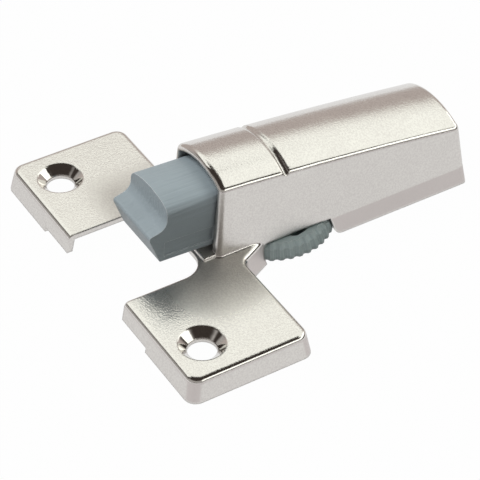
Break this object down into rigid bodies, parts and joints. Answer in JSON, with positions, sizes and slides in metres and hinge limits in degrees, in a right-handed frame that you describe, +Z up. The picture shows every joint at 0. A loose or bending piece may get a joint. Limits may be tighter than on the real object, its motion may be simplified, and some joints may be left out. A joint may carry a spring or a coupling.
{
  "type": "soft close damper",
  "caption": "Screw-on soft-close door damper: arched plated casting with countersunk wing plates, sprung oil-damped plunger with a beaked nose, and a thumb wheel that sets its reach.",
  "frame": {"origin": "on the mounting plane, below the middle of the outline", "axes": "+Z up from the mounting plane, +Y from the plunger's nose to the closed end, +X along the wings"},
  "size_m": [0.0636, 0.0706, 0.02],
  "materials": {
    "plated_casting": "satin nickel plate on die-cast zinc alloy",
    "zinc_plated_steel": "zinc-plated sheet steel",
    "bright_steel": "bright drawn steel",
    "grey_plastic": "satin moulded acetal",
    "grey_green_plastic": "satin moulded acetal",
    "black_plastic": "satin moulded acetal",
    "black_rubber": "plain rubber"
  },
  "bodies": {
    "housing": {"housing": "plated_casting", "base_plate": "zinc_plated_steel", "base_plate_rivets": "zinc_plated_steel", "wheel_pin": "bright_steel", "friction_washer": "bright_steel"},
    "wheel": {"adjuster_wheel": "grey_green_plastic"},
    "carriage": {"carriage": "black_plastic", "follower_pin": "bright_steel", "piston_rod": "bright_steel", "rod_clip": "bright_steel", "piston": "black_plastic", "piston_ring": "black_rubber", "return_spring": "bright_steel"},
    "plunger": {"plunger": "grey_plastic", "damper_cylinder": "grey_plastic", "rod_guide": "black_plastic", "guide_ring": "black_rubber", "rod_seal": "black_rubber", "compensating_foam": "black_rubber", "spring_seat": "black_plastic"}
  },
  "joints": [
    {"name": "wheel_turn", "type": "hinge", "parent": "housing", "child": "wheel", "pos_m": [0, -0.00055, 0.0019], "axis": [0, 0, 1], "range_deg": [-90, 90]},
    {"name": "carriage_slide", "type": "slide", "parent": "housing", "child": "carriage", "axis": [0, 1, 0], "range_m": [-0.0015, 0.0015]},
    {"name": "plunger_slide", "type": "slide", "parent": "carriage", "child": "plunger", "axis": [0, 0.9986, -0.0523], "range_m": [0, 0.009], "stiffness_N_per_m": 150, "springref_m": -0.002, "deforming": ["return_spring"]}
  ],
  "couplings": [
    {"joint": "wheel_turn", "follows": "carriage_slide", "rad_per_m": 1047.2}
  ]
}
